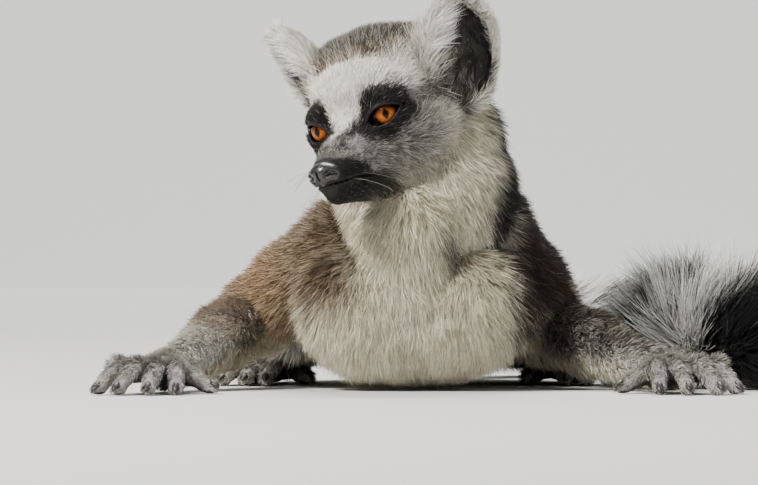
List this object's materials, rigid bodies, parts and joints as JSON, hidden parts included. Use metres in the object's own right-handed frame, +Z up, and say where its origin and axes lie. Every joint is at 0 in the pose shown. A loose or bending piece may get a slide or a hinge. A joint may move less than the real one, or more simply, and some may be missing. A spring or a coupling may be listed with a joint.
{
  "type": "ring-tailed lemur",
  "caption": "Ring-tailed lemur, life size, lying in a low crouch on chest and belly with its head up and turned, hands flat, tail curled forward beside it.",
  "frame": {"origin": "on the floor, under the middle of the animal's bounding box", "axes": "+Z up, the body faces -Y with the rump at +Y, and its left side is at +X"},
  "size_m": [0.394, 0.3938, 0.178],
  "materials": {
    "coat_brown": "dense brown-grey fur",
    "coat_grey": "short grey fur",
    "coat_cream": "long cream-white fur",
    "coat_white": "short white fur",
    "tail_rings": "long fur in black and white rings",
    "nose_leather": "moist bare black skin",
    "eye_amber": "wet glossy amber"
  },
  "bodies": {
    "root": {"ear_left": "coat_white", "ear_right": "coat_white", "eye_left": "eye_amber", "eye_right": "eye_amber", "foot_left": "coat_white", "foot_right": "coat_white", "forearm_left": "coat_grey", "forearm_right": "coat_grey", "hand_left": "coat_white", "hand_right": "coat_white", "head": "coat_grey", "neck": "coat_cream", "nose": "nose_leather", "shin_left": "coat_grey", "shin_right": "coat_grey", "tail_1": "tail_rings", "tail_2": "tail_rings", "tail_3": "tail_rings", "tail_4": "tail_rings", "tail_5": "tail_rings", "tail_6": "tail_rings", "thigh_left": "coat_grey", "thigh_right": "coat_grey", "trunk": "coat_brown", "upper_arm_left": "coat_brown", "upper_arm_right": "coat_brown"}
  },
  "joints": []
}
